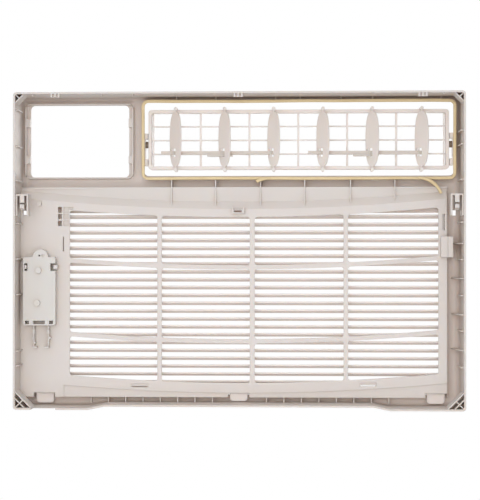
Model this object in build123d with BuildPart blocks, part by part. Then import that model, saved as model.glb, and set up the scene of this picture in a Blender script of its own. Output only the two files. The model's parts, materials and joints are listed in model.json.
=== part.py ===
"""Front panel assembly of a window air conditioner: tray, louver set, intake grille and fittings.

Millimetres. +X is the right-hand side seen from the room, the front faces -Y, +Z is up.
The origin is under the middle of the panel, on the surface that it stands on.
"""
from build123d import *
import math
import os

os.makedirs("parts", exist_ok=True)

# ---- the moulded tray ----
panel_width = 673.0
panel_height = 474.0
panel_depth = 70.0
wall = 2.8
rib = 1.6
front_y = -panel_depth / 2
rear_y = panel_depth / 2
floor_y = front_y + wall
half_width = panel_width / 2
inner_half = half_width - wall
front_round = 12.0
round_y = front_y + front_round
corner_in = (front_round - 1) * math.sqrt(0.5)
corner_round = 5.0
foot_inner_x = 225.0
arch_half = 200.0
arch_rise = 5.0

# ---- openings in the front ----
control_x = (164.4, 327.0)
control_z = (349.8, 460.3)
control_lip = 5.5
control_collar_y = -23.0
outlet_x = (-325.6, 146.9)
outlet_z = (352.0, 464.6)
duct_bottom = 349.5
outlet_round = 7.0
collar_wall = 2.2
collar_y = -16.0
gasket_x = (-323.2, 144.2)
gasket_z = (349.4, 462.2)
gasket_width = 4.6
gasket_thick = 6.0

# ---- intake recess, its guard and the grille in front of it ----
recess_half = 310.5
recess_z = (18.0, 331.5)
recess_wall = 2.5
shelf_z = 15.4
guard_rear = -10.5
guard_thick = 2.5
pad_rise = 1.5
guard_front = guard_rear - guard_thick
pad_rear = guard_rear + pad_rise
recess_outer = recess_half + recess_wall
step_top = recess_z[1] + recess_wall
channel_rib_x = (103, 36, -32, -99, -168, -235)
channel_rib_y = -11.5
gusset_y = -25.0
gusset_depth = 30.0
sag_radius = 3160.0
guard_right = inner_half - 0.1
pad_right_x = 267.0
pad_bottom = 22.2
pad_top = 300.4
band_top = 311.8
step_y = -17.0
step_lean = 6.0
window_rows = ((37.4, 97.0), (103.5, 209.0), (215.5, 288.3))
window_columns = ((-300.1, -164.4), (-157.5, -23.3), (-15.8, 117.7), (124.5, 257.9))
catch_slot_x = (-4.0, 8.0)
catch_slot_z = (295.3, 298.2)
grille_gap = 1.5
grille_z = (20.0, 330.0)
grille_rear = -21.5
grille_skin = 2.5
slat_pitch = 12.0
slat_top_z = 289.2
slat_rise = 3.0
slat_edge = 2.4
slat_count = 22
slat_span = (-304.0, 264.0)
hinge_x = (-296.5, 1.2, 296.5)
hinge_round = 3.0
notch_half = 16.2
notch_top = 22.1
tab_half = 13.4
tab_bottom = (6.0, 9.2, 6.0)

# ---- louver set ----
louver_x = (-317.2, 139.2)
louver_z = (361.0, 452.0)
louver_bar = 5.0
louver_front = -34.0
louver_rear = -20.0
blade_rear = -25.0
blade_z = (427.0, 406.0, 384.9)
blade_thick = 1.6
louver_mid_x = -89.2
tilt_y = -25.0
tilt_z = 399.0
trunnion_r = 3.0
bush_r = 5.0
running_gap = 0.05
vane_pitch = 74.4
vane_y = -10.0
vane_chord = 27.5
fullness = 2.6
vane_z = (364.6, 448.2)
vane_thick = 1.6
vane_rest = 42.0
pin_r = 1.5
lug_z = (360.0, 452.6)
lug_r = 2.7
link_pin_r = 1.2
link_arm = 6.0
link_gap = 0.3
link_z = (383.6, 388.6)
link_thick = 3.0

# ---- sensor cover ----
cover_x = (277.5, 327.0)
cover_z = (124.6, 228.0)
cover_rear = 6.0
screw_at = (302.0, 230.0)


# ---- helpers ----
def facing(y):
    """Upright plane at depth y: sketch x is +X, sketch y is +Z, and extrusion runs to the front."""
    return Plane.XZ.offset(-y)


def middle(span):
    return (span[0] + span[1]) / 2


def size(span):
    return span[1] - span[0]


def block(x, y, z, mode=Mode.ADD):
    """Box between the low and high values of x, y and z."""
    with Locations((middle(x), middle(y), middle(z))):
        Box(size(x), size(y), size(z), mode=mode)


def round_block(x, y, z, radius, mode=Mode.ADD):
    """Box with its four edges along Y rounded."""
    with BuildSketch(facing(y[1])) as outline:
        with Locations((middle(x), middle(z))):
            RectangleRounded(size(x), size(z), radius)
    extrude(outline.sketch, amount=size(y), mode=mode)


def peg(x, z, y, radius, mode=Mode.ADD):
    """Round bar along Y between the depths y."""
    with BuildSketch(facing(y[1])) as outline:
        with Locations((x, z)):
            Circle(radius)
    extrude(outline.sketch, amount=size(y), mode=mode)


def upright(x, y, z, radius, mode=Mode.ADD):
    """Round bar along Z between the heights z."""
    with BuildSketch(Plane.XY.offset(z[0])) as outline:
        with Locations((x, y)):
            Circle(radius)
    extrude(outline.sketch, amount=size(z), mode=mode)


def slanted_wall(start, end):
    """Thin upright wall between two points in X and Z, near the rear rim."""
    run, rise = end[0] - start[0], end[1] - start[1]
    lean = math.degrees(math.atan2(rise, run))
    with BuildSketch(facing(rear_y - 2)) as outline:
        with Locations(Location((middle((start[0], end[0])), middle((start[1], end[1]))), lean)):
            Rectangle(math.hypot(run, rise), rib)
    extrude(outline.sketch, amount=gusset_depth)


def sag(z_mid, x):
    """Height at x of a shallow arc whose lowest point is at z_mid on the centre line."""
    return z_mid + x * x / (2 * sag_radius)


def sagging_face(x, z, radius):
    """Face between two shallow arcs, z being their heights on the centre line."""
    left, right = x
    centre = middle(x)
    with BuildSketch() as face:
        with BuildLine():
            ThreePointArc((left, sag(z[0], left)), (centre, sag(z[0], centre)), (right, sag(z[0], right)))
            Line((right, sag(z[0], right)), (right, sag(z[1], right)))
            ThreePointArc((right, sag(z[1], right)), (centre, sag(z[1], centre)), (left, sag(z[1], left)))
            Line((left, sag(z[1], left)), (left, sag(z[0], left)))
        make_face()
        if radius:
            fillet(face.vertices(), radius)
    return face.sketch


def tray_outline(inset):
    """Outline of the tray seen from the front, moved inwards by inset: two feet with a low arch between."""
    side = half_width - inset
    low = inset
    with BuildSketch() as outline:
        with BuildLine():
            Polyline(
                (-side, low), (-foot_inner_x, low), (-arch_half, low + arch_rise), (arch_half, low + arch_rise),
                (foot_inner_x, low), (side, low), (side, panel_height - inset), (-side, panel_height - inset),
                close=True,
            )
        make_face()
        outer = [v for v in outline.vertices() if abs(v.X) > side - 1]
        fillet(outer, corner_round - inset / 2)
    return outline.sketch


def finish(part, name):
    part.label = name
    export_step(part, f"parts/{name}.step")


# ---- front panel: the tray ----
with BuildPart() as tray_hollow:
    with BuildSketch(facing(rear_y + 1)):
        add(tray_outline(wall))
    extrude(amount=rear_y + 1 - floor_y)
    fillet(tray_hollow.faces().sort_by(Axis.Y)[0].edges(), front_round - wall)

with BuildPart() as front_panel:
    with BuildSketch(facing(rear_y)):
        add(tray_outline(0))
    extrude(amount=panel_depth)
    fillet(front_panel.faces().sort_by(Axis.Y)[0].edges(), front_round)
    add(tray_hollow.part, mode=Mode.SUBTRACT)

    # collars of the control opening and the outlet, and the walls of the intake recess
    round_block(
        (control_x[0] - 2, control_x[1] + 2), (floor_y - 1, control_collar_y),
        (control_z[0] - 2, control_z[1] + 2), 9,
    )
    round_block(
        (outlet_x[0] - collar_wall, outlet_x[1] + collar_wall), (floor_y - 1, collar_y),
        (duct_bottom - collar_wall, outlet_z[1] + collar_wall), outlet_round + collar_wall,
    )
    block((-recess_outer, recess_outer), (floor_y - 1, step_y - guard_thick), (shelf_z, step_top))
    block((-recess_outer, recess_outer), (floor_y - 1, guard_front), (shelf_z, pad_top))

    # the openings themselves
    round_block(
        (control_x[0] + control_lip, control_x[1] - control_lip), (front_y - 1, rear_y), control_z, 7,
        mode=Mode.SUBTRACT,
    )
    for lip_z in ((349.8, 371.0), (382.0, 426.7), (439.5, 460.3)):
        round_block(control_x, (floor_y, rear_y), lip_z, 2, mode=Mode.SUBTRACT)
    round_block(outlet_x, (front_y - 1, rear_y), outlet_z, outlet_round, mode=Mode.SUBTRACT)
    round_block(outlet_x, (floor_y, rear_y), (duct_bottom, outlet_z[1]), outlet_round, mode=Mode.SUBTRACT)
    round_block((-recess_half, recess_half), (front_y - 1, 0), recess_z, 3, mode=Mode.SUBTRACT)

    # notches in the shelf for the hinge tabs of the grille
    for x in hinge_x:
        block(
            (x - notch_half, x + notch_half), (floor_y + 5, guard_front + 1), (shelf_z - 1, notch_top),
            mode=Mode.SUBTRACT,
        )

    # small gussets between the shelf and the bottom wall
    for side in (-1, 1):
        for count in range(8):
            x = side * (41.0 + 26.4 * count)
            block((x - rib / 2, x + rib / 2), (gusset_y, guard_front), (arch_rise + 1.5, shelf_z + 1))

    # gussets from the outlet collar over the step
    for x in channel_rib_x:
        rib_x = (x - rib / 2, x + rib / 2)
        block(rib_x, (floor_y - 1, step_y - guard_thick), (recess_z[1] + 1, duct_bottom - 1))
        block(rib_x, (floor_y - 1, channel_rib_y), (step_top, gasket_z[0] - gasket_width - 0.2))
        block(rib_x, (floor_y - 1, collar_y - 1), (step_top, duct_bottom - 1))

    # ribs on the top wall: short ones over the control opening, full ones down to the outlet collar
    for x in (308, 205, 158):
        block((x - rib / 2, x + rib / 2), (16, 32), (panel_height - wall - 2.6, panel_height - 1))
    for x in (96, 36, -55, -92, -154, -202, -305):
        with BuildSketch(Plane.YZ.offset(x - rib / 2)) as web:
            with BuildLine():
                Polyline(
                    (collar_y - 0.3, outlet_z[1] + 1), (collar_y - 0.3, panel_height - 1),
                    (round_y, panel_height - 1), (round_y - corner_in, panel_height - front_round + corner_in),
                    (round_y - front_round + 2, outlet_z[1] + 1),
                    close=True,
                )
            make_face()
        extrude(web.sketch, amount=rib)
        block((x - rib / 2, x + rib / 2), (18, 32), (panel_height - wall - 1.6, panel_height - 1))
    # ribs on both side walls: short ones, and at the left four gussets that widen towards the floor
    for z in (448, 394, 342, 278, 225, 171.5, 87, 65):
        block((inner_half - 4.2, half_width - 1), (pad_rear + 0.1, 28), (z - rib / 2, z + rib / 2))
    for z in (416, 395.5, 343, 279.5, 224, 170.5, 118, 64):
        block((1 - half_width, -inner_half + 4.2), (-23, 28), (z - rib / 2, z + rib / 2))
    for z in (248, 196, 142, 89):
        with BuildSketch(Plane.XY.offset(z - rib / 2)) as gusset:
            with BuildLine():
                Polyline(
                    (1 - half_width, round_y), (-half_width + front_round - corner_in, round_y - corner_in),
                    (-half_width + front_round, front_y + 1), (-321.3, floor_y - 1), (-321.3, -26),
                    (-inner_half + 3, 26), (1 - half_width, 26),
                    close=True,
                )
            make_face()
        extrude(gusset.sketch, amount=rib)

    # comb hooks on the rear edge of the top wall
    for x in (-273.5, 0, 273.5):
        block((x - 7.2, x + 7.2), (rear_y - 6, rear_y - 3.5), (panel_height - 8, panel_height - 1))
        for step in (-1, 0, 1):
            block(
                (x + 5.4 * step - 1.3, x + 5.4 * step + 1.3), (rear_y - 6, rear_y),
                (panel_height - 8, panel_height - 1),
            )

    # corner gussets: slanted walls across each corner and a rib from the corner to the widest of them
    for x_side in (-1, 1):
        for z_edge, z_sign, legs in ((wall, 1, (23.5, 13.5)), (panel_height - wall, -1, (12.5,))):
            corner = (x_side * inner_half, z_edge)
            for leg in legs:
                slanted_wall(
                    (corner[0] + 0.8 * x_side, z_edge + z_sign * (leg + 0.8)),
                    (x_side * (inner_half - leg - 0.8), z_edge - 0.8 * z_sign),
                )
            half_leg = legs[0] / 2
            slanted_wall(
                (corner[0] + 0.8 * x_side, z_edge - 0.8 * z_sign),
                (x_side * (inner_half - half_leg), z_edge + z_sign * half_leg),
            )

    # finger grips on the outer sides, and the notch under the right foot
    for x_side in (-1, 1):
        x = x_side * (half_width + 0.4)
        round_block((x - 1, x + 1), (-20, 20), (86, 110), 0.9)
    block((273, 310), (front_y + front_round, rear_y + 1), (-1, 2.4), mode=Mode.SUBTRACT)

    # release slots beside the snap sockets, in the floor and in the side walls
    block((326.5, 333.0), (front_y - 1, floor_y + 8), (291, 299), mode=Mode.SUBTRACT)
    block((-328.5, -322.5), (front_y - 1, floor_y + 8), (291, 299), mode=Mode.SUBTRACT)
    block((inner_half - 1, half_width + 2), (-8, 10), (289, 299), mode=Mode.SUBTRACT)
    block((-half_width - 2, 1 - inner_half), (-20, -4), (289, 299), mode=Mode.SUBTRACT)
finish(front_panel.part, "front_panel")


# ---- intake guard: the inner plate with its lattice of windows ----
with BuildPart() as sloped_band:
    with BuildSketch(Plane.YZ):
        with BuildLine():
            Polyline(
                (pad_rear, pad_top - 3), (pad_rear, pad_top), (step_y, band_top),
                (step_y + step_lean, band_top + 24),
                (step_y + step_lean - guard_thick, band_top + 24), (step_y - guard_thick, band_top - 1.5),
                (guard_front, pad_top - 1.5), (guard_front, pad_top - 3),
                close=True,
            )
        make_face()
    revolve(axis=Axis((0, 0, pad_top + sag_radius), (0, 1, 0)), revolution_arc=14)

with BuildPart() as intake_guard:
    # plate from the shelf up to the top of the lattice
    with BuildSketch(facing(guard_rear)):
        add(sagging_face((-recess_outer, guard_right), (shelf_z - 16, pad_top - 1.5), 0))
        with Locations((0, shelf_z - 50)):
            Rectangle(panel_width, 100, mode=Mode.SUBTRACT)
    extrude(amount=guard_thick)
    # raised pad around the windows, which runs into the level plate at the right
    with BuildSketch(facing(pad_rear)):
        add(sagging_face((-recess_outer, guard_right), (pad_bottom, pad_top - 1.5), 0))
        with Locations((middle((pad_right_x, guard_right)), shelf_z + 20)):
            Rectangle(guard_right - pad_right_x, 40)
    extrude(amount=pad_rise + 1)
    # sloped band and stepped-back surface above the windows
    add(sloped_band.part.rotate(Axis((0, 0, pad_top + sag_radius), (0, 1, 0)), -7))
    block((-400, 400), (-30, 0), (step_top, 420), mode=Mode.SUBTRACT)
    block((-420, -recess_outer), (-30, 0), (200, 420), mode=Mode.SUBTRACT)
    block((guard_right, 420), (-30, 0), (200, 420), mode=Mode.SUBTRACT)
    block((-recess_outer, recess_outer), (step_y - guard_thick, step_y + 3.5), (recess_z[1], step_top))
    for x in channel_rib_x:
        block((x - rib / 2, x + rib / 2), (step_y - 1, channel_rib_y), (sag(pad_top, x) + 2, step_top))
    # the lattice of windows
    with BuildSketch(facing(0)):
        for column in window_columns:
            for row in window_rows:
                add(sagging_face(column, row, 4))
    extrude(amount=30, mode=Mode.SUBTRACT)
    # notches for the hinge tabs of the grille
    for x in hinge_x:
        block((x - notch_half, x + notch_half), (-20, 0), (shelf_z - 1, notch_top), mode=Mode.SUBTRACT)
    # small holes, slots and shallow pockets
    for hole_z in ((295, 304), (285.4, 293.5), (275, 283.2)):
        block((270, 276), (-20, 0), hole_z, mode=Mode.SUBTRACT)
        block((259.8, 267.5), (pad_rear - 2.5, 0), hole_z, mode=Mode.SUBTRACT)
    block((252.8, 260.5), (pad_rear - 2, 0), (300.2, 304), mode=Mode.SUBTRACT)
    block((266.8, 268.4), (-20, 0), (236.5, 258.7), mode=Mode.SUBTRACT)
    block((-309.5, -306.3), (-20, 0), (268, 293), mode=Mode.SUBTRACT)
    block((323.4, 329.2), (-20, 0), (292, 298.5), mode=Mode.SUBTRACT)
    for slot_x, slot_z in (((138, 165), 30.5), ((-207, -181), 32.5)):
        block(slot_x, (pad_rear - 1.2, 0), (slot_z, slot_z + 5.5), mode=Mode.SUBTRACT)
        block((slot_x[0] + 2, slot_x[1] - 2), (-20, 0), (slot_z, slot_z + 1.6), mode=Mode.SUBTRACT)
    block(catch_slot_x, (-20, 0), catch_slot_z, mode=Mode.SUBTRACT)
    # locating peg in the upper right corner
    peg(304, 308.5, (pad_rear - 1, pad_rear + 6), 3.4)
    peg(301.5, 312.5, (pad_rear - 1, pad_rear + 2.5), 1.2)
    # hooks that hold the sensor cover at its side notches
    for hook_x in ((274.5, 280.5), (321.4, 324.4)):
        block(hook_x, (pad_rear - 1, cover_rear - 0.5), (210, 215.5))
finish(intake_guard.part, "intake_guard")


# ---- foam gasket on the rear edge of the outlet collar, with its two loose ends ----
with BuildPart() as outlet_gasket:
    round_block(
        (gasket_x[0] - gasket_width, gasket_x[1] + gasket_width), (collar_y, collar_y + gasket_thick),
        (gasket_z[0] - gasket_width, gasket_z[1] + gasket_width), outlet_round + gasket_width - 1.5,
    )
    round_block(
        gasket_x, (collar_y - 1, collar_y + gasket_thick + 1), gasket_z, outlet_round - 1.5, mode=Mode.SUBTRACT
    )
finish(outlet_gasket.part, "outlet_gasket")

strip_rear = collar_y + gasket_thick
strip_middle = gasket_z[0] - gasket_width / 2
strip_ends = (("gasket_stub", -45.0, 35.6, -32.0), ("gasket_tail", -270.0, 36.0, 70.0))
for name, start_x, bend_r, sweep_angle in strip_ends:
    centre = (start_x, strip_middle - bend_r)
    with BuildPart() as loose_end:
        with BuildSketch(facing(strip_rear + gasket_thick - 0.5)):
            with BuildLine():
                outer_arc = CenterArc(centre, bend_r + gasket_width / 2, 90, sweep_angle)
                inner_arc = CenterArc(centre, bend_r - gasket_width / 2, 90, sweep_angle)
                Line(outer_arc @ 0, inner_arc @ 0)
                Line(outer_arc @ 1, inner_arc @ 1)
            make_face()
        extrude(amount=gasket_thick - 0.5)
    finish(loose_end.part, name)


# ---- louver brackets, bushes and pivot pins, one set at each end of the outlet ----
outlet_ends = (("right", 1, outlet_x[1], louver_x[1]), ("left", -1, outlet_x[0], louver_x[0]))
for name, side, end_x, frame_x in outlet_ends:
    def span(near, far):
        """X range between two distances from the outlet's end wall, measured towards the louver frame."""
        return tuple(sorted((end_x - side * near, end_x - side * far)))

    gap = abs(end_x - frame_x)
    with BuildPart() as bracket:
        block(span(0, 3.2), (-33, -17), (367, 416))
        block(span(0, gap - 0.8), (-33, -17), (407.5, 416))
        block(span(0, gap - 0.8), (-33, -17), (367, 377))
        with BuildSketch(Plane.YZ.offset(end_x - side * gap)) as bore:
            with Locations((tilt_y, tilt_z)):
                Circle(bush_r)
        extrude(bore.sketch, amount=side * gap, mode=Mode.SUBTRACT)
    finish(bracket.part, f"{name}_louver_bracket")

    with BuildPart() as bush:
        with BuildSketch(Plane.YZ.offset(end_x)):
            with Locations((tilt_y, tilt_z)):
                Circle(bush_r)
                Circle(trunnion_r + running_gap, mode=Mode.SUBTRACT)
        extrude(amount=-side * (gap - 0.6))
    finish(bush.part, f"{name}_pivot_bush")

    with BuildPart() as pin:
        with BuildSketch(Plane.YZ.offset(frame_x)):
            with Locations((tilt_y, tilt_z)):
                Circle(trunnion_r)
        extrude(amount=side * (gap - 0.8))
    finish(pin.part, f"{name}_pivot_pin")


# ---- louver frame: ring, webs, blades and the lugs that hold the vanes ----
vane_x = [louver_mid_x + vane_pitch * (2.5 - count) for count in range(6)]
with BuildPart() as louver_frame:
    round_block(louver_x, (louver_front, louver_rear), louver_z, 5)
    round_block(
        (louver_x[0] + louver_bar, louver_x[1] - louver_bar), (louver_front - 1, louver_rear + 1),
        (louver_z[0] + louver_bar, louver_z[1] - louver_bar), 3, mode=Mode.SUBTRACT,
    )
    for z in blade_z:
        block(
            (louver_x[0] + 2, louver_x[1] - 2), (louver_front, blade_rear),
            (z - blade_thick / 2, z + blade_thick / 2),
        )
    for count in range(-2, 3):
        x = louver_mid_x + vane_pitch * count
        block((x - 1.5, x + 1.5), (louver_front, blade_rear), (louver_z[0] + 2, louver_z[1] - 2))
    for x in (louver_x[0] + 7.2, louver_x[1] - 7.2):
        block((x - 0.7, x + 0.7), (louver_front, blade_rear), (louver_z[0] + 2, louver_z[1] - 2))
    for x in vane_x:
        peg(x, lug_z[0], (louver_rear - 4, vane_y + lug_r), lug_r)
        peg(x, lug_z[1], (louver_rear - 4, vane_y + lug_r), lug_r)
        upright(x, vane_y, (350, 364), pin_r + running_gap, mode=Mode.SUBTRACT)
        upright(x, vane_y, (447, 460), pin_r + running_gap, mode=Mode.SUBTRACT)
finish(louver_frame.part, "louver_frame")


# ---- oval vanes, turned on their upright pins ----
vane_turn = math.radians(vane_rest)
towards_front = Vector(math.sin(vane_turn), -math.cos(vane_turn), 0)
link_step_x = link_arm * towards_front.X
link_y = vane_y + link_arm * towards_front.Y
window_u = (-0.8, link_arm + 3.4)
window_z = (link_z[0] - 3.8, link_z[1] + 3.8)
handle_z = (link_z[0] - 2.6, link_z[0])
vane_outline = []
for step in range(24):
    turn = math.tau * (step + 0.5) / 24
    vane_outline.append(
        (
            math.copysign(abs(math.cos(turn)) ** (2 / fullness), math.cos(turn)) * vane_chord / 2,
            math.copysign(abs(math.sin(turn)) ** (2 / fullness), math.sin(turn)) * size(vane_z) / 2,
        )
    )
for number, x in enumerate(vane_x, start=1):
    carries_handle = number in (2, 5)
    vane_plane = Plane(
        origin=(x, vane_y, middle(vane_z)), x_dir=towards_front,
        z_dir=(-math.cos(vane_turn), -math.sin(vane_turn), 0),
    )
    with BuildPart() as vane:
        with BuildSketch(vane_plane):
            with BuildLine():
                Spline(*vane_outline, periodic=True)
            make_face()
            with Locations((middle(window_u), middle(window_z) - middle(vane_z))):
                Rectangle(size(window_u), size(window_z), mode=Mode.SUBTRACT)
            if carries_handle:
                with Locations((link_arm + vane_chord / 2, middle(handle_z) - middle(vane_z))):
                    Rectangle(vane_chord, size(handle_z) + 1.2, mode=Mode.SUBTRACT)
        extrude(amount=vane_thick / 2, both=True)
        upright(x, vane_y, (vane_z[1] - 3, lug_z[1] + lug_r - 0.4), pin_r)
        upright(x, vane_y, (lug_z[0] - lug_r + 0.2, vane_z[0] + 3), pin_r)
        upright(x + link_step_x, link_y, (window_z[0] - 2.0, window_z[1] + 2.0), link_pin_r)
    finish(vane.part, f"vane_{number}")


# ---- link bars that tie the vanes in threes, and their finger plates ----
link_bars = (("a", (-51.5, 119.0), vane_x[:3], 29.8), ("b", (-275.5, -104.0), vane_x[3:], -191.5))
for letter, bar_x, joined, handle_x in link_bars:
    with BuildPart() as link_bar:
        block(bar_x, (link_y - link_thick / 2, link_y + link_thick / 2), link_z)
        for x in joined:
            upright(x + link_step_x, link_y, link_z, 2.6)
        for x in joined:
            upright(
                x + link_step_x, link_y, (link_z[0] - 1, link_z[1] + 1), link_pin_r + link_gap,
                mode=Mode.SUBTRACT,
            )
    finish(link_bar.part, f"link_bar_{letter}")

    with BuildPart() as link_handle:
        block((handle_x - 19.3, handle_x + 19.3), (-30, link_y + 2.0), handle_z)
        fillet(link_handle.edges().filter_by(Axis.Z).group_by(Axis.Y)[0], 5)
        upright(
            joined[1] + link_step_x, link_y, (handle_z[0] - 1, handle_z[1] + 1), link_pin_r + link_gap,
            mode=Mode.SUBTRACT,
        )
    finish(link_handle.part, f"link_handle_{letter}")


# ---- snap sockets near the side walls ----
socket_front = 9.0
for name, side in (("right", 1), ("left", -1)):
    def across(low, high):
        """X range on this side of the panel."""
        return tuple(sorted((side * low, side * high)))

    with BuildPart() as mount_clip:
        block(across(315, inner_half - 0.1), (socket_front, 29), (289.5, 322))
        block(across(317.2, 320.8), (socket_front - 1, 30), (288, 319.5), mode=Mode.SUBTRACT)
        block(across(327.6, 331.2), (socket_front - 1, 30), (288, 319.5), mode=Mode.SUBTRACT)
        block(across(320, 329), (socket_front - 1, 30), (288, 298), mode=Mode.SUBTRACT)
        block(across(320, 329), (14, 30), (306.5, 309), mode=Mode.SUBTRACT)
        block(across(320, 329), (22, 30), (298, 300.5), mode=Mode.SUBTRACT)
    finish(mount_clip.part, f"{name}_mount_clip")


# ---- cover over the room sensor and the two clip arms below it ----
with BuildPart() as sensor_cover:
    round_block(cover_x, (pad_rear, cover_rear), cover_z, 2.5)
    peg(screw_at[0] - 1.5, cover_z[1], (pad_rear, cover_rear), 11.5)
    round_block(
        (cover_x[0] + 2, cover_x[1] - 2), (pad_rear - 1, cover_rear - 2), (cover_z[0] + 2, cover_z[1] - 3), 1.5,
        mode=Mode.SUBTRACT,
    )
    peg(screw_at[0] - 5.5, screw_at[1], (cover_rear - 1, cover_rear + 0.6), 2.4)
    peg(screw_at[0] - 5.5, screw_at[1], (cover_rear - 0.4, cover_rear + 1), 1.5, mode=Mode.SUBTRACT)
    peg(screw_at[0], screw_at[1], (pad_rear - 1, cover_rear + 1), 1.3, mode=Mode.SUBTRACT)
    # stamped pegs and the holes around the edge
    for peg_x, peg_z in ((303, 207.7), (305, 158.4)):
        peg(peg_x, peg_z, (cover_rear - 1, cover_rear + 4.5), 4.6)
    block((320, 324.6), (pad_rear - 1, 20), (207, 218.3), mode=Mode.SUBTRACT)
    block((276, 285), (pad_rear - 1, 20), (207, 218.3), mode=Mode.SUBTRACT)
    for notch_x in ((317.7, 323.5), (293.5, 311), (281, 287)):
        block(notch_x, (cover_rear - 6, 20), (126.6, 131.6), mode=Mode.SUBTRACT)
finish(sensor_cover.part, "sensor_cover")

with BuildPart() as sensor_clip_arms:
    for arm_x, inward in ((311.0, -1), (289.0, 1)):
        block((arm_x - 0.9, arm_x + 0.9), (pad_rear, 2), (91, cover_z[0]))
        foot = sorted((arm_x - 0.9 * inward, arm_x + 5.2 * inward))
        block(foot, (pad_rear, 4.5), (90.4, 92.6))
        block((arm_x - 1.6, arm_x + 1.6), (pad_rear + 4, 3), (112, 118))
        block(sorted((arm_x, arm_x - 3.2 * inward)), (pad_rear, 2), (103.5, 107))
        block(sorted((arm_x, arm_x + 2.6 * inward)), (pad_rear, 2), (97, 99))
        block((arm_x - 4, arm_x + 4), (0, 8), (96, 108), mode=Mode.SUBTRACT)
finish(sensor_clip_arms.part, "sensor_clip_arms")


# ---- catch housing at the left side and the catch above the lattice ----
with BuildPart() as side_catch_housing:
    block((-321, -recess_outer), (floor_y, 2), (227.4, 258.6))
    block((-recess_outer - 1, -303), (pad_rear, 2), (227.4, 258.6))
    block((-313.6, -313.0), (1.4, 3), (229, 257), mode=Mode.SUBTRACT)
finish(side_catch_housing.part, "side_catch_housing")

with BuildPart() as centre_catch:
    block((-7.6, 11.5), (pad_rear, pad_rear + 7), (293.5, 299.4))
    block((-7.6, -5.2), (pad_rear, pad_rear + 7), (299, 303))
    block((9.1, 11.5), (pad_rear, pad_rear + 7), (299, 303))
    block(catch_slot_x, (pad_rear - 1, pad_rear + 8), catch_slot_z, mode=Mode.SUBTRACT)
finish(centre_catch.part, "centre_catch")


# ---- intake grille: slatted front cover, its hinge tabs and snap ridges ----
grille_half = recess_half - grille_gap
with BuildPart() as intake_grille:
    round_block((-grille_half, grille_half), (front_y, grille_rear), grille_z, 6.5)
    front_edges = intake_grille.faces().sort_by(Axis.Y)[0].edges()
    fillet(front_edges, hinge_round)
    round_block(
        (-grille_half + grille_skin, grille_half - grille_skin), (front_y + grille_skin, grille_rear + 1),
        (grille_z[0] + grille_skin, grille_z[1] - grille_skin), 4, mode=Mode.SUBTRACT,
    )
    round_block(slat_span, (front_y - 1, 0), (30.5, slat_top_z + 6), 2, mode=Mode.SUBTRACT)
    # slats, a little higher at the back than at the front
    for count in range(slat_count):
        z = slat_top_z - slat_pitch * count
        with BuildSketch(Plane.YZ.offset(slat_span[0] - 1)) as slat:
            with BuildLine():
                Polyline(
                    (front_y, z - slat_rise), (front_y, z - slat_rise + slat_edge),
                    (grille_rear - 3, z + slat_rise), (grille_rear - 3, z + slat_rise - slat_edge),
                    close=True,
                )
            make_face()
        extrude(slat.sketch, amount=size(slat_span) + 2)
    for x in (-160.9, -19.5, 121.1):
        block((x - 1, x + 1), (front_y + 2, grille_rear - 1.5), (28, slat_top_z + 8))
finish(intake_grille.part, "intake_grille")

with BuildPart() as grille_hinge_tabs:
    for x, low in zip(hinge_x, tab_bottom):
        with BuildSketch(facing(grille_rear + 4)) as tab:
            with Locations((x, middle((low, 26)))):
                Rectangle(2 * tab_half, 26 - low)
            fillet(tab.vertices().group_by(Axis.Z)[0], 5)
        extrude(tab.sketch, amount=4)
        with BuildSketch(facing(grille_rear + 5)) as hollow:
            with Locations((x, middle((low, 26)))):
                Rectangle(2 * tab_half - 2.4, 26 - low - 2.4)
            fillet(hollow.vertices().group_by(Axis.Z)[0], 4)
        extrude(hollow.sketch, amount=1.8, mode=Mode.SUBTRACT)
finish(grille_hinge_tabs.part, "grille_hinge_tabs")

with BuildPart() as grille_latches:
    for x in (-150, 150):
        block((x - 15, x + 15), (grille_rear - 5, grille_rear - 2), (grille_z[1], grille_z[1] + 1.1))
finish(grille_latches.part, "grille_latches")
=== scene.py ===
# %% [markdown]
# # The front panel of a window air conditioner, seen from behind
#
# The panel is one deep moulding in pale warm-grey plastic. It carries a tilting louver frame with six oval
# vanes, a foam gasket, a latticed guard and a slatted grille. The solids come packed from CAD and stay
# where they are. This file gives each of them a finish, makes the soft foam anew as surfaces worked out
# with numpy, and sets up the light and the camera.

import json
import math

import bmesh
import bpy
import numpy as np
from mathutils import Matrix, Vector


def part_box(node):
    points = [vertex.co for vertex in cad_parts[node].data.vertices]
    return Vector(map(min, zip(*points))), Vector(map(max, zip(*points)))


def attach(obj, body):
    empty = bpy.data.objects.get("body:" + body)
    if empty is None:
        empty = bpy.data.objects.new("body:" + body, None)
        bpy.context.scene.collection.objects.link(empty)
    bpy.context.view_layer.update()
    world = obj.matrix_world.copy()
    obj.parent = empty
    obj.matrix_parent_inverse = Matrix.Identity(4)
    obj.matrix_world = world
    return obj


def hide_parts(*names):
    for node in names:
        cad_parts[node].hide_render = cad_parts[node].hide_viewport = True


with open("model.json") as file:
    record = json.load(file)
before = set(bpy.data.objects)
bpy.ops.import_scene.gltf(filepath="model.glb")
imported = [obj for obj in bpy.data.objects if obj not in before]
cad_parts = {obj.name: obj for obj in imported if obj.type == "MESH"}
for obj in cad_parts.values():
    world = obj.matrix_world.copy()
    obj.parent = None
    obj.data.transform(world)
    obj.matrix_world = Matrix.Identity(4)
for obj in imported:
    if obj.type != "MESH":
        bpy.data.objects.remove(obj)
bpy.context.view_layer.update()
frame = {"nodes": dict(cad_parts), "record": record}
nodes = frame["nodes"]
record = frame["record"]
slots = {part["node"]: part["material_slot"] for part in record["subparts"]}

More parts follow.
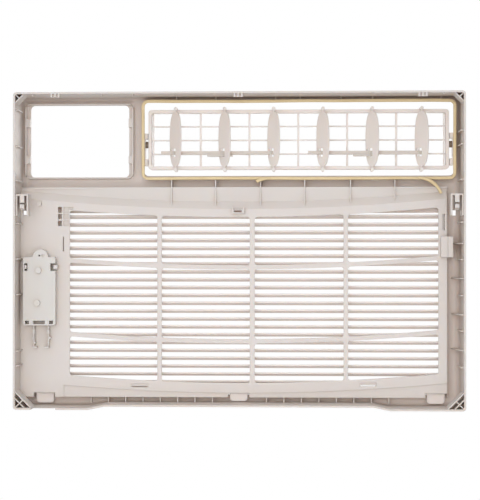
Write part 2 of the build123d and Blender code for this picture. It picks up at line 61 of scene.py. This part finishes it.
# %% [markdown]
# ## Helpers for numpy surfaces
#
# A surface is a grid of points: one array index runs along the piece, the other runs round its section.
# Neighbouring points make four-sided faces. A closed index wraps round to its start, and an open end gets
# a single face as a cap, so the mesh is always a closed shell.

# %% Grid to mesh
def grid_faces(rows, columns, close_rows=False):
    """Quads of a rows x columns grid whose columns wrap round. Rows wrap too if close_rows is true."""
    last = rows if close_rows else rows - 1
    r, c = np.meshgrid(np.arange(last), np.arange(columns), indexing="ij")
    r2, c2 = (r + 1) % rows, (c + 1) % columns
    quads = np.stack([r * columns + c, r * columns + c2, r2 * columns + c2, r2 * columns + c], axis=-1)
    return quads.reshape(-1, 4)


def tube_object(name, points, close_rows=False, smooth=True):
    """Object from points[row, column, xyz]: a skin round the columns, with flat caps on open ends."""
    rows, columns = points.shape[:2]
    faces = grid_faces(rows, columns, close_rows).tolist()
    if not close_rows:
        faces.append(list(range(columns))[::-1])
        faces.append([(rows - 1) * columns + c for c in range(columns)])
    mesh = bpy.data.meshes.new(name)
    mesh.from_pydata(points.reshape(-1, 3).tolist(), [], faces)
    mesh.validate()
    mesh.update()
    mesh.polygons.foreach_set("use_smooth", np.full(len(mesh.polygons), smooth))
    made = bpy.data.objects.new(name, mesh)
    bpy.context.scene.collection.objects.link(made)
    return made


def face_outwards(made):
    """Turns the faces of a closed mesh outwards."""
    shell = bmesh.new()
    shell.from_mesh(made.data)
    bmesh.ops.recalc_face_normals(shell, faces=shell.faces)
    shell.to_mesh(made.data)
    shell.free()


# %% [markdown]
# ## Effects that several finishes share
#
# Moulded plastic is never one flat colour. Its surface has a fine spark-eroded grain, its tone drifts
# slowly over the part, and dust and age warm it a little. On top of that, its recesses get a painted shade,
# dimmer and warmer, and its thin edges get a painted highlight. Each effect is a node group with named
# inputs, so that every finish can use it at its own strength.

# %% Node helpers
def new_group(name, inputs, outputs):
    """Empty shader group. inputs and outputs map a socket's name to its kind and, for inputs, its default."""
    group = bpy.data.node_groups.new(name, "ShaderNodeTree")
    for label, (kind, default) in inputs.items():
        socket = group.interface.new_socket(label, in_out="INPUT", socket_type=f"NodeSocket{kind}")
        socket.default_value = default
    for label, kind in outputs.items():
        group.interface.new_socket(label, in_out="OUTPUT", socket_type=f"NodeSocket{kind}")
    entry = group.nodes.new("NodeGroupInput")
    leave = group.nodes.new("NodeGroupOutput")
    return group, entry, leave


def add_node(tree, kind, **values):
    """Adds a node, sets its properties and, where a name is one of its sockets, that socket's value."""
    node = tree.nodes.new(kind)
    for key, value in values.items():
        if key in node.inputs:
            node.inputs[key].default_value = value
        else:
            setattr(node, key, value)
    return node


def wire(tree, *pairs):
    """Links each output to the input beside it."""
    for source, target in pairs:
        tree.links.new(source, target)


# %% Grain: fine spark-eroded texture and slow unevenness
def make_grain():
    """Height = fine noise + a little slow noise. Tone is the slow noise alone, from 0 to 1."""
    group, entry, leave = new_group(
        "moulded_grain",
        {"Fine Scale": ("Float", 900.0), "Slow Scale": ("Float", 9.0), "Slow Share": ("Float", 0.5)},
        {"Height": "Float", "Tone": "Float"},
    )
    place = add_node(group, "ShaderNodeTexCoord")
    fine = add_node(group, "ShaderNodeTexNoise", Detail=2.0, Roughness=0.6)
    slow = add_node(group, "ShaderNodeTexNoise", Detail=3.0, Roughness=0.5)
    share = add_node(group, "ShaderNodeMath", operation="MULTIPLY_ADD")
    wire(
        group,
        (place.outputs["Object"], fine.inputs["Vector"]),
        (place.outputs["Object"], slow.inputs["Vector"]),
        (entry.outputs["Fine Scale"], fine.inputs["Scale"]),
        (entry.outputs["Slow Scale"], slow.inputs["Scale"]),
        (slow.outputs["Fac"], share.inputs[0]),
        (entry.outputs["Slow Share"], share.inputs[1]),
        (fine.outputs["Fac"], share.inputs[2]),
        (share.outputs[0], leave.inputs["Height"]),
        (slow.outputs["Fac"], leave.inputs["Tone"]),
    )
    return group


grain = make_grain()


# %% Painted edge highlight: where two faces meet, the moulding's colour is painted paler
def make_painted_edge_highlight():
    """Painted highlight mask = how far a rounded normal turns from the true one, which is large only near
    edges.
    """
    group, entry, leave = new_group(
        "painted_edge_highlight",
        {"Gain": ("Float", 2.5)},
        {"Mask": "Float", "Normal": "Vector"},
    )
    rounded = add_node(group, "ShaderNodeBevel", samples=4, Radius=0.0009)
    flat = add_node(group, "ShaderNodeNewGeometry")
    dot = add_node(group, "ShaderNodeVectorMath", operation="DOT_PRODUCT")
    turn = add_node(group, "ShaderNodeMath", operation="SUBTRACT")
    turn.inputs[0].default_value = 1.0
    gain = add_node(group, "ShaderNodeMath", operation="MULTIPLY", use_clamp=True)
    wire(
        group,
        (rounded.outputs["Normal"], dot.inputs[0]),
        (flat.outputs["Normal"], dot.inputs[1]),
        (dot.outputs["Value"], turn.inputs[1]),
        (turn.outputs[0], gain.inputs[0]),
        (entry.outputs["Gain"], gain.inputs[1]),
        (gain.outputs[0], leave.inputs["Mask"]),
        (rounded.outputs["Normal"], leave.inputs["Normal"]),
    )
    return group


painted_edge_highlight = make_painted_edge_highlight()


# %% Dust: a warm film that settles on faces that look up
def make_dust():
    """Colour = the plastic's own, mixed towards dust by (upward slant x blotchy noise x amount)."""
    group, entry, leave = new_group(
        "dust_film",
        {
            "Color": ("Color", (0.8, 0.8, 0.8, 1.0)),
            "Dust": ("Color", (0.55, 0.47, 0.38, 1.0)),
            "Amount": ("Float", 0.25),
        },
        {"Color": "Color", "Mask": "Float"},
    )
    place = add_node(group, "ShaderNodeTexCoord")
    blotch = add_node(group, "ShaderNodeTexNoise", Scale=45.0, Detail=5.0, Roughness=0.65)
    shape = add_node(group, "ShaderNodeNewGeometry")
    split = add_node(group, "ShaderNodeSeparateXYZ")
    upward = add_node(group, "ShaderNodeMapRange")
    upward.inputs["From Min"].default_value = -0.2
    upward.inputs["From Max"].default_value = 1.0
    upward.inputs["To Min"].default_value = 0.25
    both = add_node(group, "ShaderNodeMath", operation="MULTIPLY")
    amount = add_node(group, "ShaderNodeMath", operation="MULTIPLY", use_clamp=True)
    mix = add_node(group, "ShaderNodeMix", data_type="RGBA")
    wire(
        group,
        (place.outputs["Object"], blotch.inputs["Vector"]),
        (shape.outputs["Normal"], split.inputs[0]),
        (split.outputs["Z"], upward.inputs["Value"]),
        (upward.outputs["Result"], both.inputs[0]),
        (blotch.outputs["Fac"], both.inputs[1]),
        (both.outputs[0], amount.inputs[0]),
        (entry.outputs["Amount"], amount.inputs[1]),
        (amount.outputs[0], mix.inputs["Factor"]),
        (entry.outputs["Color"], mix.inputs["A"]),
        (entry.outputs["Dust"], mix.inputs["B"]),
        (mix.outputs["Result"], leave.inputs["Color"]),
        (amount.outputs[0], leave.inputs["Mask"]),
    )
    return group


dust_film = make_dust()


# %% Cavity: painted shade that makes recesses dim and warm, as light bouncing about in them would
def make_painted_cavity_shade():
    """Painted shade: the plastic's own colour, mixed towards brown by (share of nearby sky hidden x amount).
    """
    group, entry, leave = new_group(
        "painted_cavity_shade",
        {
            "Color": ("Color", (0.8, 0.8, 0.8, 1.0)),
            "Deep": ("Color", (0.42, 0.27, 0.13, 1.0)),
            "Amount": ("Float", 0.8),
            "Reach": ("Float", 0.045),
        },
        {"Color": "Color", "Mask": "Float"},
    )
    sky = add_node(group, "ShaderNodeAmbientOcclusion", samples=5)
    hidden = add_node(group, "ShaderNodeMath", operation="SUBTRACT")
    hidden.inputs[0].default_value = 1.0
    amount = add_node(group, "ShaderNodeMath", operation="MULTIPLY", use_clamp=True)
    mix = add_node(group, "ShaderNodeMix", data_type="RGBA")
    wire(
        group,
        (entry.outputs["Reach"], sky.inputs["Distance"]),
        (sky.outputs["AO"], hidden.inputs[1]),
        (hidden.outputs[0], amount.inputs[0]),
        (entry.outputs["Amount"], amount.inputs[1]),
        (amount.outputs[0], mix.inputs["Factor"]),
        (entry.outputs["Color"], mix.inputs["A"]),
        (entry.outputs["Deep"], mix.inputs["B"]),
        (mix.outputs["Result"], leave.inputs["Color"]),
        (amount.outputs[0], leave.inputs["Mask"]),
    )
    return group


painted_cavity_shade = make_painted_cavity_shade()
print("shared effects:", [g.name for g in bpy.data.node_groups])

# %% [markdown]
# ## Finishes
#
# All the plastics share one recipe: a pale and a slightly deeper tone of the same resin, mixed by the slow
# noise, then dust, painted shade in recesses and painted highlights on edges. Only the colours, the grain's
# strength and the gloss differ.

# %% Moulded plastic
# How much paler the painted edge highlight is than the pale tone.
edge_highlight_lift = 1.12


def plastic(name, pale, deep, roughness, grain_depth, dust=0.2, edge=0.25, fine=900.0, glow=0.2, recess_shade=0.28):
    """Matte or satin plastic. Colours are linear, grain_depth is in metres.

    dust, edge and recess_shade are the strengths of the shared effects: the dust film, the painted edge
    highlight and the painted shade in recesses. fine is the noise scale of the grain, and glow is how much
    light soaks in.
    """
    material = bpy.data.materials.new(name)
    material.use_nodes = True
    tree = material.node_tree
    tree.nodes.clear()
    out = add_node(tree, "ShaderNodeOutputMaterial")
    skin = add_node(tree, "ShaderNodeBsdfPrincipled")
    skin.inputs["IOR"].default_value = 1.48
    skin.inputs["Specular IOR Level"].default_value = 0.42
    skin.inputs["Subsurface Weight"].default_value = glow
    skin.inputs["Subsurface Radius"].default_value = (1.0, 0.62, 0.36)
    skin.inputs["Subsurface Scale"].default_value = 0.006
    texture = add_node(tree, "ShaderNodeGroup", node_tree=grain)
    texture.inputs["Fine Scale"].default_value = fine
    # Painted highlight: the base colour turns paler near edges.
    edges = add_node(tree, "ShaderNodeGroup", node_tree=painted_edge_highlight)
    film = add_node(tree, "ShaderNodeGroup", node_tree=dust_film)
    film.inputs["Amount"].default_value = dust
    tone = add_node(tree, "ShaderNodeMix", data_type="RGBA")
    tone.inputs["A"].default_value = (*deep, 1.0)
    tone.inputs["B"].default_value = (*pale, 1.0)
    edge_amount = add_node(tree, "ShaderNodeMath", operation="MULTIPLY")
    edge_amount.inputs[1].default_value = edge
    lift = add_node(tree, "ShaderNodeMix", data_type="RGBA")
    lift.inputs["B"].default_value = (*[min(1.0, v * edge_highlight_lift) for v in pale], 1.0)
    # Painted shade: recesses get a dimmer, warmer base colour.
    recess = add_node(tree, "ShaderNodeGroup", node_tree=painted_cavity_shade)
    recess.inputs["Amount"].default_value = recess_shade
    gloss = add_node(tree, "ShaderNodeMapRange")
    gloss.inputs["To Min"].default_value = roughness - 0.05
    gloss.inputs["To Max"].default_value = roughness + 0.07
    bump = add_node(tree, "ShaderNodeBump", Strength=0.6, Distance=grain_depth)
    wire(
        tree,
        (texture.outputs["Tone"], tone.inputs["Factor"]),
        (tone.outputs["Result"], film.inputs["Color"]),
        (film.outputs["Color"], recess.inputs["Color"]),
        (recess.outputs["Color"], lift.inputs["A"]),
        (edges.outputs["Mask"], edge_amount.inputs[0]),
        (edge_amount.outputs[0], lift.inputs["Factor"]),
        (lift.outputs["Result"], skin.inputs["Base Color"]),
        (texture.outputs["Tone"], gloss.inputs["Value"]),
        (gloss.outputs["Result"], skin.inputs["Roughness"]),
        (texture.outputs["Height"], bump.inputs["Height"]),
        (edges.outputs["Normal"], bump.inputs["Normal"]),
        (bump.outputs["Normal"], skin.inputs["Normal"]),
        (skin.outputs["BSDF"], out.inputs["Surface"]),
    )
    return material


panel_plastic = plastic("panel_plastic", (0.70, 0.664, 0.648), (0.665, 0.625, 0.606), 0.52, 0.00005)
louver_plastic = plastic(
    "louver_plastic", (0.83, 0.775, 0.755), (0.78, 0.725, 0.70), 0.45, 0.00003, dust=0.1, recess_shade=0.15
)
grille_plastic = plastic(
    "grille_plastic", (0.83, 0.765, 0.74), (0.78, 0.715, 0.69), 0.42, 0.00003, dust=0.1, recess_shade=0.12
)
cover_plastic = plastic("cover_plastic", (0.66, 0.64, 0.625), (0.63, 0.605, 0.585), 0.38, 0.00002, dust=0.1)
link_plastic = plastic("link_plastic", (0.64, 0.59, 0.55), (0.58, 0.53, 0.49), 0.40, 0.00002)
bush_plastic = plastic("bush_plastic", (0.16, 0.125, 0.10), (0.12, 0.095, 0.075), 0.35, 0.00002, dust=0.1)


# %% Yellowed foam for the gasket
def foam():
    """Open-cell foam: cell walls from a Voronoi pattern, paler on the walls and a painted shade deeper in the
    cells.
    """
    material = bpy.data.materials.new("gasket_foam")
    material.use_nodes = True
    tree = material.node_tree
    skin = tree.nodes["Principled BSDF"]
    skin.inputs["Roughness"].default_value = 0.9
    skin.inputs["Specular IOR Level"].default_value = 0.2
    place = add_node(tree, "ShaderNodeTexCoord")
    cells = add_node(tree, "ShaderNodeTexVoronoi", feature="DISTANCE_TO_EDGE", Scale=900.0)
    slow = add_node(tree, "ShaderNodeTexNoise", Scale=38.0, Detail=4.0)
    base = add_node(tree, "ShaderNodeMix", data_type="RGBA")
    base.inputs["A"].default_value = (0.72, 0.56, 0.32, 1.0)
    base.inputs["B"].default_value = (0.82, 0.70, 0.46, 1.0)
    pore_shade = add_node(tree, "ShaderNodeMapRange")
    pore_shade.inputs["From Max"].default_value = 0.35
    pore_shade.inputs["To Min"].default_value = 0.0
    pore_shade.inputs["To Max"].default_value = 0.28
    # Painted shade: the cells are coloured deeper than their walls.
    deep = add_node(tree, "ShaderNodeMix", data_type="RGBA")
    deep.inputs["B"].default_value = (0.50, 0.36, 0.18, 1.0)
    bump = add_node(tree, "ShaderNodeBump", Strength=0.7, Distance=0.0003)
    bump.invert = True
    wire(
        tree,
        (place.outputs["Object"], cells.inputs["Vector"]),
        (place.outputs["Object"], slow.inputs["Vector"]),
        (slow.outputs["Fac"], base.inputs["Factor"]),
        (cells.outputs["Distance"], pore_shade.inputs["Value"]),
        (pore_shade.outputs["Result"], deep.inputs["Factor"]),
        (base.outputs["Result"], deep.inputs["A"]),
        (deep.outputs["Result"], skin.inputs["Base Color"]),
        (cells.outputs["Distance"], bump.inputs["Height"]),
        (bump.outputs["Normal"], skin.inputs["Normal"]),
    )
    return material


gasket_foam = foam()

# %% Put each finish on the CAD nodes of its slot
finish_of = {
    "panel_abs": panel_plastic,
    "louver_abs": louver_plastic,
    "grille_abs": grille_plastic,
    "cover_abs": cover_plastic,
    "link_pp": link_plastic,
    "bush_pom": bush_plastic,
    "gasket_foam": gasket_foam,
}
for node_name, made in nodes.items():
    made.data.materials.clear()
    made.data.materials.append(finish_of[slots[node_name]])
print("finished nodes:", len(nodes))

# %% [markdown]
# ## Foam gasket
#
# The gasket is a soft square strip stuck on the collar's rear edge. The strip is a rounded section carried
# along the collar's outline. Foam that is pressed on by hand wanders a little and is thicker in places, so
# slow seeded waves move its line and swell its section. Its two loose ends are the same section on an arc.

# %% Section and outline of the strip
def strip_section(width, height, count=16, squareness=4.0):
    """Points of a superellipse |a|^n + |b|^n = 1, width across and height deep, as (across, deep) offsets."""
    angle = np.linspace(0, 2 * math.pi, count, endpoint=False)
    c, s = np.cos(angle), np.sin(angle)
    across = np.sign(c) * np.abs(c) ** (2 / squareness) * width / 2
    deep = np.sign(s) * np.abs(s) ** (2 / squareness) * height / 2
    return across, deep


def rounded_rectangle(low, high, radius, spacing):
    """Evenly spaced points and outward normals round a rectangle with round corners, in X and Z."""
    (x0, z0), (x1, z1) = low, high
    corners = [(x1 - radius, z1 - radius, 0.0), (x0 + radius, z1 - radius, 0.5),
               (x0 + radius, z0 + radius, 1.0), (x1 - radius, z0 + radius, 1.5)]
    points, normals = [], []
    for index, (cx, cz, start) in enumerate(corners):
        turn = (start + np.linspace(0, 0.5, 9)) * math.pi
        points.append(np.stack([cx + radius * np.cos(turn), cz + radius * np.sin(turn)], axis=1))
        normals.append(np.stack([np.cos(turn), np.sin(turn)], axis=1))
        next_x, next_z, next_start = corners[(index + 1) % 4]
        next_turn = next_start * math.pi
        tip = np.array([next_x + radius * math.cos(next_turn), next_z + radius * math.sin(next_turn)])
        steps = max(2, int(np.linalg.norm(tip - points[-1][-1]) / spacing))
        share = np.linspace(0, 1, steps, endpoint=False)[1:, None]
        points.append(points[-1][-1] * (1 - share) + tip * share)
        normals.append(np.repeat(normals[-1][-1:], steps - 1, axis=0))
    return np.concatenate(points), np.concatenate(normals)


def slow_waves(count, seed, size, waves=9):
    """Smooth closed random curve of count values: sines of 3, 6, 9... waves round, with seeded phases."""
    rng = np.random.default_rng(seed)
    turn = np.linspace(0, 2 * math.pi, count, endpoint=False)
    total = np.zeros(count)
    for wave in range(1, waves + 1):
        total += np.sin(wave * 3 * turn + rng.uniform(0, 2 * math.pi)) / wave
    return total * size


# %% The ring
gasket_low, gasket_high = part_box("outlet_gasket")
strip_width = 0.0046
clearance = 0.0001
strip_height = gasket_high.y - gasket_low.y
inset = strip_width / 2 + clearance
ring_line, ring_normal = rounded_rectangle(
    (gasket_low.x + inset, gasket_low.z + inset),
    (gasket_high.x - inset, gasket_high.z - inset),
    radius=0.0078,
    spacing=0.004,
)
across, deep = strip_section(strip_width, strip_height)
rows = len(ring_line)
swell = 1 + slow_waves(rows, seed=3, size=0.035)[:, None]
wander = slow_waves(rows, seed=8, size=0.00022)[:, None]
offset = across[None, :] * swell + wander
ring_points = np.zeros((rows, len(across), 3))
ring_points[:, :, 0] = ring_line[:, 0:1] + ring_normal[:, 0:1] * offset
ring_points[:, :, 2] = ring_line[:, 1:2] + ring_normal[:, 1:2] * offset
depth_swell = 1 + slow_waves(rows, seed=5, size=0.02)[:, None]
ring_points[:, :, 1] = (gasket_low.y + gasket_high.y) / 2 + deep[None, :] * depth_swell
gasket_ring = tube_object("gasket_ring", ring_points, close_rows=True)


def finish_foam(piece, node):
    """Foam finish for a strip that stands for a CAD node of the panel."""
    face_outwards(piece)
    piece.data.materials.append(gasket_foam)
    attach(piece, "panel")
    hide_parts(node)


finish_foam(gasket_ring, "outlet_gasket")
print("gasket ring:", rows, "sections")


# %% The two loose ends
def loose_end(name, start, bend, turn, lift, taper):
    """Strip on an arc of radius bend. It starts level at start and bends down by turn.

    lift brings its tip away from the panel and taper thins it. Its section is a tenth shallower than the
    ring's and pulls in and out by 6% along the way.
    """
    along = np.linspace(0, 1, 28)
    angle = math.pi / 2 + along * turn
    line = np.stack([start[0] + bend * np.cos(angle), start[2] - bend + bend * np.sin(angle)], axis=1)
    outward = np.stack([np.cos(angle), np.sin(angle)], axis=1)
    width, height = strip_section(strip_width, strip_height * 0.9)
    waist = 1 - 0.06 * np.sin(along * 3 * math.pi)[:, None] - taper * along[:, None] ** 2
    points = np.zeros((len(along), len(width), 3))
    points[:, :, 0] = line[:, 0:1] + outward[:, 0:1] * width[None, :] * waist
    points[:, :, 2] = line[:, 1:2] + outward[:, 1:2] * width[None, :] * waist
    points[:, :, 1] = start[1] + height[None, :] * waist + lift * along[:, None] ** 2
    return tube_object(name, points)


tip_lift = 0.0012
for name, node, bend, turn, taper in (
    ("gasket_loose_stub", "gasket_stub", 0.0356, -math.radians(32), -0.12),
    ("gasket_loose_tail", "gasket_tail", 0.036, math.radians(70), 0.08),
):
    low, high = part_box(node)
    start_x = low.x if turn < 0 else high.x
    start = (start_x, (low.y + high.y) / 2, high.z - strip_width / 2)
    finish_foam(loose_end(name, start, bend, turn, tip_lift, taper), node)
print("loose ends made")

# %% [markdown]
# ## Stage, light and camera
#
# The part stands on a white floor in a white tent of light, as in a catalogue picture. Most of the light
# comes from behind the camera, with a weaker box in front of the panel. The floor glows a little and a low
# strip lights the bottom channel, so faces that look down are warm and not dark.

# %% Floor and world
def build_stage():
    """A floor that is pure white to the camera. As a light it is dimmer and a little warm."""
    bpy.ops.mesh.primitive_plane_add(size=30, location=(0, 0, -0.0005))
    floor = bpy.context.object
    floor.name = "studio_floor"
    material = bpy.data.materials.new("floor_white")
    material.use_nodes = True
    tree = material.node_tree
    tree.nodes.clear()
    out = add_node(tree, "ShaderNodeOutputMaterial")
    bounce = add_node(tree, "ShaderNodeEmission", Strength=0.62)
    bounce.inputs["Color"].default_value = (1.0, 0.97, 0.94, 1.0)
    glow = add_node(tree, "ShaderNodeEmission", Strength=1.0)
    ray = add_node(tree, "ShaderNodeLightPath")
    shade = add_node(tree, "ShaderNodeMixShader")
    wire(
        tree,
        (ray.outputs["Is Camera Ray"], shade.inputs["Fac"]),
        (bounce.outputs["Emission"], shade.inputs[1]),
        (glow.outputs["Emission"], shade.inputs[2]),
        (shade.outputs["Shader"], out.inputs["Surface"]),
    )
    floor.data.materials.append(material)


build_stage()


def build_world():
    """White to the camera. As a light it is about half as bright, a little more so below than above."""
    world = bpy.data.worlds.new("light_tent")
    bpy.context.scene.world = world
    world.use_nodes = True
    tree = world.node_tree
    tree.nodes.clear()
    out = add_node(tree, "ShaderNodeOutputWorld")
    seen = add_node(tree, "ShaderNodeBackground", Color=(1.0, 1.0, 1.0, 1.0), Strength=1.0)
    light = add_node(tree, "ShaderNodeBackground", Color=(1.0, 0.995, 0.99, 1.0))
    place = add_node(tree, "ShaderNodeTexCoord")
    split = add_node(tree, "ShaderNodeSeparateXYZ")
    ramp = add_node(tree, "ShaderNodeMapRange")
    ramp.inputs["From Min"].default_value = -0.6
    ramp.inputs["From Max"].default_value = 1.0
    ramp.inputs["To Min"].default_value = 0.55
    ramp.inputs["To Max"].default_value = 0.45
    ray = add_node(tree, "ShaderNodeLightPath")
    choose = add_node(tree, "ShaderNodeMixShader")
    wire(
        tree,
        (place.outputs["Generated"], split.inputs[0]),
        (split.outputs["Z"], ramp.inputs["Value"]),
        (ramp.outputs["Result"], light.inputs["Strength"]),
        (ray.outputs["Is Camera Ray"], choose.inputs["Fac"]),
        (light.outputs["Background"], choose.inputs[1]),
        (seen.outputs["Background"], choose.inputs[2]),
        (choose.outputs["Shader"], out.inputs["Surface"]),
    )


build_world()


# %% Soft boxes
def aim(holder, place, target):
    """Puts a light or camera at place and turns its view towards target."""
    holder.location = place
    holder.rotation_euler = (Vector(target) - Vector(place)).to_track_quat("-Z", "Y").to_euler()


def soft_box(name, location, target, size, power, colour, height=None):
    """Area light that looks at target. It is square unless it has a height of its own."""
    lamp = bpy.data.lights.new(name, "AREA")
    lamp.shape = "RECTANGLE"
    lamp.size = size
    lamp.size_y = height or size
    lamp.energy = power
    lamp.color = colour
    holder = bpy.data.objects.new(name, lamp)
    aim(holder, location, target)
    holder.visible_camera = False
    bpy.context.scene.collection.objects.link(holder)


centre = (0.0, 0.0, 0.24)
soft_box("key_above_rear", (0.3, 0.8, 2.2), centre, 0.9, 6.0, (1.0, 0.99, 0.98))
soft_box("rear_fill", (0.2, 3.0, 0.35), centre, 1.8, 50.0, (1.0, 0.997, 0.994))
soft_box("low_strip", (0.0, 0.55, 0.08), (0.0, 0.0, 0.03), 0.8, 0.7, (1.0, 0.985, 0.97), height=0.1)
soft_box("front_fill", (-0.4, -2.0, 0.5), centre, 1.6, 24.0, (1.0, 0.985, 0.97))

# %% Camera: behind the panel, a little towards -X, almost level
camera_place = (-0.0856, 2.235, 0.2248)
camera_target = (-0.00268, 0.035, 0.23822)
camera = bpy.data.cameras.new("camera")
camera.sensor_width = 36.0
camera.lens = 106.83
camera_object = bpy.data.objects.new("camera", camera)
aim(camera_object, camera_place, camera_target)
bpy.context.scene.collection.objects.link(camera_object)
bpy.context.scene.camera = camera_object
bpy.context.scene.view_settings.view_transform = "Standard"
